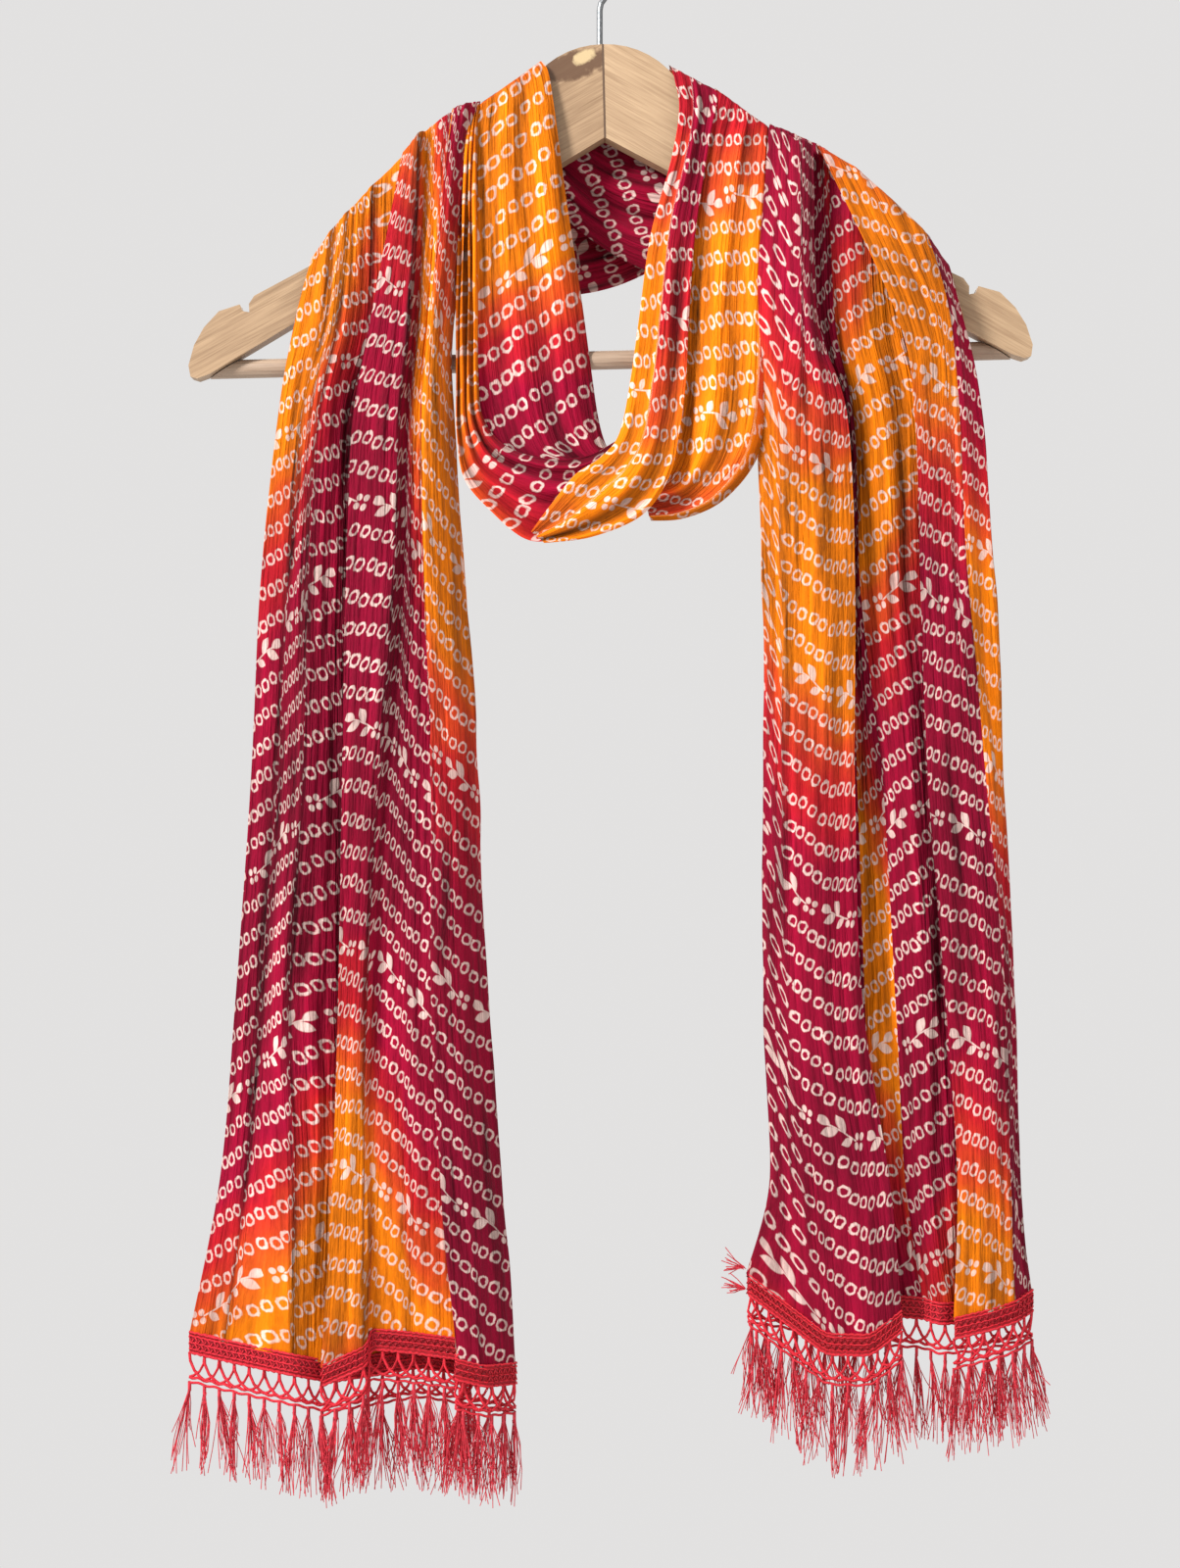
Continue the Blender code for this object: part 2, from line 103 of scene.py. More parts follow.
# first edge (x, z), second edge (x, z), depth, roundness, dye position, dye shift at the first edge
LOOP_LEFT = (
    ((-65.5, -95.5), (-31, -71), 0.3, 0, 592, 0),
    ((-66.5, -102), (-27, -80), 10, 1, 580, 0),
    ((-70, -117), (-22, -114), 14, 4, 556, 0),
    ((-71, -153), (-17, -153), 16, 6, 516, 0),
    ((-71, -198), (-10, -198), 16, 6, 462, 0),
    ((-69, -232), (-5, -234), 16, 6, 408, 0),
    ((-64, -262), (-1, -262), 17, 5, 345, 0),
    ((-54, -285), (3, -277), 19, 4, 300, 0),
    ((-30, -300), (8, -284), 21, 3, 260, 0),
)
LOOP_LIP = (
    ((-69, -100), (-64, -97), 10, 0.5, 560, 0),
    ((-73, -125), (-65, -124), 18, 1.5, 545, 0),
    ((-75.5, -198), (-64, -198), 20, 2, 520, 0),
    ((-75.5, -245), (-64, -243), 22, 2, 490, 10),
    ((-75, -273), (-61, -265), 25, 2, 440, 40),
    ((-71, -297), (-48, -280), 27, 2, 380, 80),
    ((-57, -314), (-26, -286), 28, 2, 350, 95),
    ((-40, -328), (-6, -284), 28, 2, 335, 100),
    ((-25, -329), (9, -276), 28, 2, 325, 100),
    ((-6, -322), (15, -276), 27, 2, 315, 90),
)
LOOP_BAND = (
    ((38, -74), (62, -87), 0.3, 0, 400, 0),
    ((40, -84), (62, -96), 10, 1, 404, 0),
    ((42, -99), (59, -110), 13, 2, 412, 0),
    ((38, -125), (55, -134), 16, 4, 425, 0),
    ((27, -166), (50, -169), 19, 4, 450, 0),
    ((21, -208), (47, -209), 22, 5, 480, 0),
    ((16, -245), (45, -246), 28, 5, 505, 0),
    ((10, -274), (41, -275), 35, 5, 525, 0),
    ((0, -287), (36, -297), 38, 6, 545, 0),
    ((-13, -296), (22, -317), 39, 6, 560, 0),
    ((-26, -312), (-4, -328), 38, 4, 580, 0),
    ((-36, -325), (-29, -331), 35, 1, 590, 0),
)
LOOP_RIGHT = (
    ((61.2, -86), (95, -111), 0.3, 0, 400, 0),
    ((59, -96), (95, -118), 9.5, 1, 408, 0),
    ((54, -110), (95, -133), 11, 3, 420, 0),
    ((48, -136), (94, -159), 13, 4, 440, 0),
    ((44, -170), (92, -190), 14, 6, 470, 0),
    ((41, -209), (92, -212), 16, 7, 500, 0),
    ((40, -246), (90, -244), 21, 7, 530, 0),
    ((37, -272), (87, -272), 24, 7, 550, 0),
    ((33, -289), (79, -292), 25, 6, 565, 0),
    ((29, -296), (63, -309), 25, 4, 580, 0),
    ((25, -297), (44, -317), 24, 3, 592, 0),
    ((20, -300), (27, -318), 22, 1, 600, 0),
)
BACK_INNER = ((-61, -94), (-31, -71), (186, -184.2), (99.5, -115), (-184, -106), 8.6, 10.5)
BACK_OUTER = ((-153, -179), (-68, -95), (95, -111), (37, -72), (-190, -128), 20.0, 24.0)

# Soft creases along each tail: place across (mm), from and to above the hem (mm), depth, width, drift
LEFT_CREASES = (
    (6, 60, 420, 0.9, 3.0, 4), (13, 250, 640, -0.8, 2.6, -5), (22, 20, 300, 0.8, 3.2, 6),
    (31, 180, 560, -1.0, 3.4, -8), (38, 40, 380, 0.9, 2.8, 5), (172, 60, 600, 1.0, 3.0, 4),
    (186, 200, 650, -0.9, 2.8, -4), (196, 30, 420, 0.9, 2.6, 3), (232, 90, 520, 1.1, 3.4, 9),
    (246, 20, 300, -1.0, 3.2, -7), (258, 240, 640, 0.8, 2.6, 4), (276, 60, 460, 0.9, 2.8, -4),
    (110, 80, 560, 0.9, 3.6, 8), (150, 120, 600, -0.9, 3.4, -6),
)
RIGHT_CREASES = (
    (6, 40, 420, 0.9, 2.8, 4), (14, 200, 600, -1.0, 3.2, -5), (24, 30, 330, 1.0, 3.0, 5),
    (33, 120, 560, -0.9, 2.6, -4), (60, 90, 520, 0.9, 3.8, 8), (82, 60, 580, -0.9, 3.4, -6),
    (124, 30, 360, 1.0, 2.8, 5), (136, 160, 590, -0.9, 2.6, -5), (150, 60, 420, 0.8, 2.8, 4),
    (186, 90, 560, 1.0, 3.0, -4), (206, 30, 300, 1.0, 2.8, 4), (218, 150, 600, -0.9, 2.8, -5),
)


def lean(x):
    return SWEEP * np.abs(x)


def place(x, z, out):
    return np.array((x, -(out + SWEEP * abs(x)), z), float)


def catmull(points, ts):
    """Smooth curves through points (count, ..., 3) read at each t from 0 to 1."""
    points = np.asarray(points, float)
    span = np.asarray(ts) * (len(points) - 1)
    i = np.minimum(span.astype(int), len(points) - 2)
    f = (span - i).reshape((-1,) + (1,) * (points.ndim - 1))
    p1 = points[i]
    p2 = points[i + 1]
    p0 = points[np.maximum(i - 1, 0)]
    p3 = points[np.minimum(i + 2, len(points) - 1)]
    high = (2 * p0 - 5 * p1 + 4 * p2 - p3) * f * f
    return (2 * p1 + (p2 - p0) * f + high + (3 * p1 - p0 - 3 * p2 + p3) * f ** 3) * 0.5


def fold_line(row):
    _, hem, xs, ridge, depth, _ = row
    shoulder = ridge[2] + SHOULDER_SHARE * (depth - ridge[2])
    line = [place(ridge[0], ridge[1], ridge[2]), place(ridge[0], ridge[1] - DROP, max(shoulder, SHOULDER))]
    line += [place(x, z, depth) for x, z in reversed(list(zip(xs, LEVELS)))]
    line.append(place(hem[0], hem[1], depth))
    return line


def hashed(values):
    return np.modf(np.abs(np.sin(values * 12.9898) * 43758.5453))[0]


def noise(x, y, seed):
    """Smooth value noise between -1 and 1."""
    ix = np.floor(x)
    iy = np.floor(y)
    fx = x - ix
    fy = y - iy
    fx = fx * fx * (3 - 2 * fx)
    fy = fy * fy * (3 - 2 * fy)

    def corner(a, b):
        return hashed((ix + a) * 1.37 + (iy + b) * 57.31 + seed * 3.17)

    low = corner(0, 0) * (1 - fx) + corner(1, 0) * fx
    high = corner(0, 1) * (1 - fx) + corner(1, 1) * fx
    return 2 * (low * (1 - fy) + high * fy) - 1


def normals(grid):
    across = np.gradient(grid, axis=1)
    along = np.gradient(grid, axis=0)
    normal = np.cross(along, across)
    return normal / np.maximum(np.linalg.norm(normal, axis=2, keepdims=True), 1e-9)


def crinkled(grid, seed, creases=(), strength=1.0):
    """Fine lengthwise crinkles and listed creases pushed along the normal."""
    across = np.zeros(grid.shape[:2])
    across[:, 1:] = np.cumsum(np.linalg.norm(np.diff(grid, axis=1), axis=2), axis=1)
    along = np.zeros(grid.shape[:2])
    along[1:] = np.cumsum(np.linalg.norm(np.diff(grid, axis=0), axis=2), axis=0)
    along = along[-1:] - along
    mean = across.mean(axis=0)[None, :]
    wander = 2.5 * noise(along / 60, mean / 40, seed)
    push = 0.80 * noise((mean + wander) / 3.4, along / 55, seed + 1)
    push += 0.40 * noise((mean + wander) / 1.9, along / 26, seed + 2)
    push += 0.75 * noise((mean - wander) / 8.0, along / 90, seed + 3)
    push *= strength
    for place_u, start, end, depth, width, drift in creases:
        f = np.clip((along - start) / (end - start), 0, 1)
        centre = place_u + drift * f + 1.5 * noise(along / 45, along * 0, place_u)
        push += 1.5 * depth * np.sin(math.pi * f) ** 0.6 * np.exp(-((mean - centre) / width) ** 2)
    fade = np.clip((along[:1] - along) / 16, 0, 1) ** 1.5
    edge = np.minimum(across, across[:, -1:] - across)
    push *= fade * np.clip(0.35 + edge / 8, 0, 1)
    return grid + normals(grid) * push[..., None], along, across, push


def tail_grid(folds, rows, spacing):
    """The folded section at each row, with the fold's segment of every column."""
    lines = np.array([fold_line(row) for row in folds]).transpose(1, 0, 2)
    points = catmull(lines, np.linspace(0, 1, rows))
    columns = [points[:, 0]]
    segments = []
    marks = []
    start = points[:, 0]
    count = points.shape[1]
    for i in range(1, count):
        if i < count - 1:
            before = points[:, i - 1] - points[:, i]
            after = points[:, i + 1] - points[:, i]
            lb = np.linalg.norm(before, axis=1, keepdims=True)
            la = np.linalg.norm(after, axis=1, keepdims=True)
            a = points[:, i] + before * np.minimum(CORNER / lb, 0.35)
            b = points[:, i] + after * np.minimum(CORNER / la, 0.35)
        else:
            a = points[:, i]
        steps = max(2, int(np.linalg.norm(a - start, axis=1).mean() / spacing))
        for k in range(1, steps + 1):
            columns.append(start + (a - start) * k / steps)
            segments.append(i - 1)
        if i < count - 1:
            for k in range(1, 7):
                f = k / 6
                columns.append(a * (1 - f) ** 2 + points[:, i] * 2 * f * (1 - f) + b * f * f)
                segments.append(i - 1 if k <= 3 else i)
                if k == 3:
                    marks.append(len(columns) - 1)
            start = b
    grid = np.stack(columns, axis=1)
    marks = [0] + marks + [len(columns) - 1]
    distance = np.concatenate(([0], np.cumsum(np.linalg.norm(np.diff(grid, axis=1), axis=2).mean(axis=0))))
    first = []
    second = []
    for c, k in enumerate(segments):
        d0 = distance[marks[k]]
        d1 = distance[marks[k + 1]]
        u0 = folds[k][5][1]
        u1 = folds[k + 1][5][0]
        first.append(u0 + (u1 - u0) * (distance[c] - d0) / (d1 - d0))
        second.append(u0 + (u1 - u0) * (distance[c + 1] - d0) / (d1 - d0))
    return grid, np.array(first), np.array(second), marks


def strand_grid(stations, rows, columns, pleats=5.0, fold=0.28):
    stations = (stations[0],) + (shoulder_of(stations[0]),) + stations[1:]
    ts = np.linspace(0, 1, rows)
    a = catmull([place(s[0][0], s[0][1], s[2]) for s in stations], ts)[:, None]
    b = catmull([place(s[1][0], s[1][1], s[2]) for s in stations], ts)[:, None]
    bulge = catmull([[s[3]] for s in stations], ts)
    dye = catmull([[s[4]] for s in stations], ts)
    extra = catmull([[s[5]] for s in stations], ts)
    w = np.linspace(0, 1, columns)[None, :]
    out = bulge * (np.sin(math.pi * w) ** 0.7 + fold * np.cos(pleats * math.pi * w))
    grid = a + (b - a) * w[..., None]
    grid[..., 1] -= out
    width = np.linalg.norm(b - a, axis=2)
    shift = extra * (1 - w)
    # Painted shade and highlight: this value lightens the pleats' ridges and darkens their valleys through the
    # crease value.
    groove_shade = 1.2 * np.cos(pleats * math.pi * w) * np.minimum(bulge / 2, 1)
    return grid, dye + 0 * w, shift, width * w * 1.15, groove_shade


def shoulder_of(station):
    a, b, depth, bulge, dye, extra = station
    if depth > 1:
        return ((a[0], a[1] - DROP), (b[0], b[1] - DROP), depth + 1, bulge, dye, extra)
    return ((a[0], a[1] - DROP), (b[0], b[1] - DROP), SHOULDER, bulge, dye, extra)


def back_grid(stretch, rows, columns):
    left_low, left_high, right_low, right_high, heights, shoulder, depth = stretch
    w = np.linspace(0, 1, columns)[:, None]
    left = np.array(left_low) + (np.array(left_high, float) - left_low) * w
    right = np.array(right_low) + (np.array(right_high, float) - right_low) * w
    middle = heights[0] + (heights[1] - heights[0]) * w[:, 0]
    pleat = 6.5 * (1 - np.abs(np.sin(2.5 * math.pi * w[:, 0])) ** 0.7)
    line = [np.stack((left[:, 0], RIDGE_GAP - lean(left[:, 0]), left[:, 1]), axis=1)]
    line.append(np.stack((left[:, 0] + 0.5, shoulder - lean(left[:, 0]), left[:, 1] - 1), axis=1))
    for f in (0.15, 0.32, 0.5, 0.68, 0.85):
        x = left[:, 0] + (right[:, 0] - left[:, 0]) * f
        ends = left[:, 1] + (right[:, 1] - left[:, 1]) * f
        drape = math.sin(math.pi * f) ** 0.9
        y = depth + pleat * drape - lean(x) * (1 - drape)
        line.append(np.stack((x, y, ends + (middle - ends) * drape), axis=1))
    line.append(np.stack((right[:, 0] - 0.5, shoulder - lean(right[:, 0]), right[:, 1] - 1), axis=1))
    line.append(np.stack((right[:, 0], RIDGE_GAP - lean(right[:, 0]), right[:, 1]), axis=1))
    return catmull(line, np.linspace(0, 1, rows))


def cloth(name, grid, measures, r_left, r_right, s_left, s_right, look):
    """A cloth piece whose UV map holds the place along a row of the print and across the rows.

    measures: height of the crinkles with the painted shade lines added, dye shift, place across
    and place along the cloth, each for every vertex. The first is stored as the crease attribute,
    which paints shade into the cloth colour."""
    crease, shift, across, along = measures
    rows, columns = grid.shape[:2]
    index = np.arange(rows * columns).reshape(rows, columns)
    corners = (index[:-1, :-1], index[1:, :-1], index[1:, 1:], index[:-1, 1:])
    faces = np.stack(corners, axis=2).reshape(-1, 4)
    mesh = bpy.data.meshes.new(name)
    mesh.from_pydata((grid.reshape(-1, 3) * MM).tolist(), [], faces.tolist())
    uv = np.zeros((rows - 1, columns - 1, 4, 2))
    for corner, (dr, side) in enumerate(((0, 0), (1, 0), (1, 1), (0, 1))):
        s = s_right if side else s_left
        r = r_right if side else r_left
        uv[:, :, corner, 0] = s[dr:rows - 1 + dr]
        uv[:, :, corner, 1] = r[dr:rows - 1 + dr]
    layer = mesh.uv_layers.new(name="UVMap")
    layer.data.foreach_set("uv", (uv * MM).reshape(-1))
    zeros = np.zeros(grid.shape[:2])
    # Painted shade: the crease attribute darkens the cloth colour in valleys, creases and fold lines and lightens
    # it on ridges.
    height = mesh.attributes.new("crease", "FLOAT", "POINT")
    height.data.foreach_set("value", np.clip(0.5 + (zeros + crease) / CREASE_SHADE_RANGE, 0, 1).reshape(-1))
    dye = mesh.attributes.new("dye", "FLOAT", "POINT")
    dye.data.foreach_set("value", ((zeros + shift) * MM).reshape(-1))
    lanes = np.stack((zeros + across.mean(axis=0), zeros + along, zeros), axis=2)
    weave = mesh.attributes.new("weave", "FLOAT_VECTOR", "POINT")
    weave.data.foreach_set("vector", lanes.reshape(-1) * MM)
    mesh.shade_smooth()
    return shown(name, mesh, look)


def shown(name, mesh, look):
    obj = bpy.data.objects.new(name, mesh)
    bpy.context.scene.collection.objects.link(obj)
    mesh.materials.append(look)
    return obj


def tail(name, folds, creases, shifts, seed, look, flare=0.0):
    grid, first, second, marks = tail_grid(folds, TAIL_ROWS, TAIL_SPACING)
    grid, v, across, push = crinkled(grid, seed, creases)
    halves = []
    low = np.clip(1 - v / FLARE_HEIGHT, 0, 1) ** 1.3 * flare
    for u, columns in ((first, slice(0, -1)), (second, slice(1, None))):
        u = u + low[:, columns] * np.clip((u - FLARE_EDGE) / FLARE_WIDTH, 0, 1) * (u < -200)
        halves.append((v[:, columns] - PRINT_SLOPE * u, u * 0.9 + v[:, columns] * 0.44))
    # Painted shadow: a narrow dark line in the crease value along each fold where the print jumps.
    for row, mark in zip(folds, marks):
        if 5 < abs(row[5][1] - row[5][0]) < 100:
            push = push - 2.2 * np.exp(-((across - across[:, mark:mark + 1]) / 2.2) ** 2)
    shifts = np.array(shifts, float)
    columns = np.arange(grid.shape[1])
    hem = np.interp(columns, marks, shifts[:, 0])[None, :]
    top = np.interp(columns, marks, shifts[:, 1])[None, :]
    shift = hem + (top - hem) * np.clip(v / 600, 0, 1) ** 1.5
    (r_left, s_left), (r_right, s_right) = halves
    return cloth(name, grid, (push, shift, across, v), r_left, r_right, s_left, s_right, look)


def strand(name, stations, rows, columns, slope, seed, look, pleats=5.0, fold=0.28, turn=None):
    grid, r, shift, u, groove_shade = strand_grid(stations, rows, columns, pleats, fold)
    grid, along, across, push = crinkled(grid, seed, (), 0.9)
    run = along[:1] - along
    rows_r = r[0] + (run if r[-1, 0] > r[0, 0] else -run)
    shift = shift + r - rows_r
    full = rows_r + slope * u
    if turn:
        full = full + turn[1] * (np.linspace(0, 1, columns)[None, :] > turn[0])
    s = u * 0.9 + along * abs(slope) * 0.9
    measures = (push + groove_shade, shift, across, along)
    return cloth(name, grid, measures, full[:, :-1], full[:, 1:], s[:, :-1], s[:, 1:], look)


def back(name, stretch, seed, start, look):
    grid, along, across, push = crinkled(back_grid(stretch, BACK_ROWS, BACK_COLUMNS), seed, (), 0.8)
    middle = grid[:, BACK_COLUMNS // 2]
    steps = np.linalg.norm(np.diff(middle[:, :2], axis=0), axis=1)
    run = np.concatenate(([0], np.cumsum(steps))) - middle[:, 0]
    x = grid[..., 0] + run[:, None]
    r = start + x + 0.4 * grid[..., 2]
    s = 1.1 * grid[..., 2] - 0.4 * x
    w = np.linspace(0, 1, BACK_COLUMNS)[None, :]
    # Painted shade: narrow dark lines in the crease value along the pleat folds, with the rest a little lighter.
    lines = np.abs(np.mod(w * 5 + 0.35 + 0.25 * noise(along / 60, w * 0, seed), 1) - 0.5)
    groove_shade = 0.4 - 2.0 * np.exp(-(lines / 0.10) ** 2)
    measures = (push + groove_shade, 0, across, along)
    return cloth(name, grid, measures, r[:, :-1], r[:, 1:], s[:, :-1], s[:, 1:], look)


class Nodes:
    """Short ways to write a node tree."""

    def __init__(self, name):
        self.material = bpy.data.materials.new(name)
        self.material.use_nodes = True
        self.tree = self.material.node_tree
        self.shader = self.tree.nodes["Principled BSDF"]

    def link(self, a, b):
        if isinstance(a, (int, float)):
            b.default_value = a
        else:
            self.tree.links.new(a, b)

    def math(self, operation, a, b=0.0, c=0.0):
        node = self.tree.nodes.new("ShaderNodeMath")
        node.operation = operation
        for value, socket in zip((a, b, c), node.inputs):
            self.link(value, socket)
        return node.outputs[0]

    def node(self, kind, **inputs):
        node = self.tree.nodes.new(kind)
        for key, value in inputs.items():
            self.link(value, node.inputs[key.replace("_", " ")])
        return node

    def near(self, value, centre, width, soft):
        """1 where value lies within width of centre, falling to 0 over soft."""
        off = self.math("ABSOLUTE", self.math("SUBTRACT", value, centre))
        return self.below(off, width, soft)

    def below(self, value, edge, soft):
        scaled = self.math("DIVIDE", self.math("SUBTRACT", edge, value), soft)
        node = self.tree.nodes.new("ShaderNodeClamp")
        self.link(self.math("ADD", scaled, 0.5), node.inputs[0])
        return node.outputs[0]

    def mix(self, factor, a, b):
        node = self.tree.nodes.new("ShaderNodeMix")
        node.data_type = "RGBA"
        self.link(factor, node.inputs[0])
        for value, socket in ((a, node.inputs[6]), (b, node.inputs[7])):
            if isinstance(value, tuple):
                socket.default_value = value
            else:
                self.tree.links.new(value, socket)
        return node.outputs[2]

    def ramp(self, factor, stops):
        node = self.tree.nodes.new("ShaderNodeValToRGB")
        self.link(factor, node.inputs[0])
        elements = node.color_ramp.elements
        elements[0].position = stops[0][0]
        elements[0].color = stops[0][1]
        elements[1].position = stops[-1][0]
        elements[1].color = stops[-1][1]
        for position, color in stops[1:-1]:
            elements.new(position).color = color
        return node.outputs[0]


ORANGE = (0.86, 0.20, 0.002, 1)
FLAME = (0.72, 0.075, 0.012, 1)
RED = (0.54, 0.012, 0.018, 1)
CRIMSON = (0.33, 0.002, 0.028, 1)
DEEP = (0.24, 0.002, 0.024, 1)
PALE = (0.92, 0.70, 0.62, 1)
ROW = 0.0166
RING = 0.0076
DYE_REPEAT = 0.545
VINE_EVERY = 7
VINE_CELL = 0.036
PETAL_OUT = 0.0023
PETAL_RADIUS = 0.0018

# Vine leaves: centre (x, y), turn, length, width
LEAVES = (
    (0.0055, 0.0036, 0.7, 0.0052, 0.0027), (0.0098, -0.0033, -0.6, 0.0050, 0.0026),
    (0.0152, 0.0014, 0.25, 0.0050, 0.0024), (-0.0010, -0.0032, -0.8, 0.0042, 0.0020),
)

# Knot in the wood of the left arm: centre (x, z), half width, half height, colour
KNOT = (
    (-0.017, -0.074, 0.019, 0.0075, (0.10, 0.045, 0.02, 1)),
    (-0.0085, -0.069, 0.0052, 0.0037, (0.58, 0.43, 0.23, 1)),
)


def ring_marks(n, uv, s, up, row):
    """Small tied rings along a row, each a little out of place and ragged."""
    along = n.math("ADD", n.math("DIVIDE", s, RING), n.math("MULTIPLY", row, 0.37))
    cell = n.math("FLOOR", along)
    side = n.math("MULTIPLY", n.math("SUBTRACT", n.math("FRACT", along), 0.5), RING)
    where = n.node("ShaderNodeCombineXYZ", X=cell, Y=row)
    random = n.node("ShaderNodeTexWhiteNoise", Vector=where.outputs[0])
    tone = n.node("ShaderNodeSeparateColor", Color=random.outputs["Color"])
    jx = n.math("MULTIPLY", n.math("SUBTRACT", tone.outputs[0], 0.5), 0.0011)
    jy = n.math("MULTIPLY", n.math("SUBTRACT", tone.outputs[1], 0.5), 0.0022)
    rx = n.math("ADD", n.math("MULTIPLY", tone.outputs[2], 0.0007), 0.0028)
    x = n.math("DIVIDE", n.math("ADD", side, jx), rx)
    y = n.math("DIVIDE", n.math("ADD", n.math("ADD", up, jy), n.math("MULTIPLY", side, 0.12)), 0.0035)
    rough = n.node("ShaderNodeTexNoise", Vector=uv.outputs[0], Scale=420.0, Detail=1.0)
    ragged = n.math("MULTIPLY", n.math("SUBTRACT", rough.outputs[0], 0.5), 0.5)
    power_x = n.math("POWER", n.math("ABSOLUTE", x), 2.5)
    power_y = n.math("POWER", n.math("ABSOLUTE", y), 2.5)
    radius = n.math("ADD", n.math("POWER", n.math("ADD", power_x, power_y), 0.4), ragged)
    return n.near(radius, 0.78, 0.20, 0.16)


def vine_marks(n, s, up):
    """A wavy stem with four leaves and a four-petalled flower in every cell."""
    vine_s = n.math("DIVIDE", s, VINE_CELL)
    vine_x = n.math("MULTIPLY", n.math("SUBTRACT", n.math("FRACT", vine_s), 0.5), VINE_CELL)
    wave = n.math("MULTIPLY", n.math("SINE", n.math("MULTIPLY", vine_s, 2 * math.pi)), 0.0012)
    vine_y = n.math("ADD", up, wave)
    marks = n.math("MULTIPLY", n.below(n.math("ABSOLUTE", vine_y), 0.00045, 0.0004),
                   n.below(n.math("ABSOLUTE", n.math("SUBTRACT", vine_x, 0.004)), 0.0115, 0.001))
    for cx, cy, turn, long, wide in LEAVES:
        px = n.math("SUBTRACT", vine_x, cx)
        py = n.math("SUBTRACT", vine_y, cy)
        cos = math.cos(turn)
        sin = math.sin(turn)
        ax = n.math("ADD", n.math("MULTIPLY", px, cos), n.math("MULTIPLY", py, sin))
        ay = n.math("SUBTRACT", n.math("MULTIPLY", py, cos), n.math("MULTIPLY", px, sin))
        ex = n.math("POWER", n.math("DIVIDE", ax, long), 2.0)
        ey = n.math("DIVIDE", n.math("ABSOLUTE", ay), wide)
        marks = n.math("MAXIMUM", marks, n.below(n.math("ADD", ex, ey), 1.0, 0.25))
    fx = n.math("ABSOLUTE", n.math("ADD", vine_x, 0.0105))
    fy = n.math("ABSOLUTE", vine_y)
    petal = n.node("ShaderNodeCombineXYZ", X=n.math("SUBTRACT", fx, PETAL_OUT), Y=n.math("SUBTRACT", fy, PETAL_OUT))
    length = n.tree.nodes.new("ShaderNodeVectorMath")
    length.operation = "LENGTH"
    n.link(petal.outputs[0], length.inputs[0])
    return n.math("MAXIMUM", marks, n.below(length.outputs["Value"], PETAL_RADIUS, 0.0005))


def crinkle_heights(n):
    """Lengthwise noise at three sizes, read from the place on the cloth."""
    weave = n.tree.nodes.new("ShaderNodeAttribute")
    weave.attribute_name = "weave"
    heights = []
    for across, along in ((300, 11), (760, 30), (2600, 240)):
        drawn = n.node("ShaderNodeMapping", Vector=weave.outputs["Vector"])
        drawn.inputs["Scale"].default_value = (across, along, 1)
        crinkle = n.node("ShaderNodeTexNoise", Vector=drawn.outputs[0], Scale=1.0, Detail=2.0, Distortion=0.3)
        heights.append(n.math("SUBTRACT", crinkle.outputs[0], 0.5))
    return heights


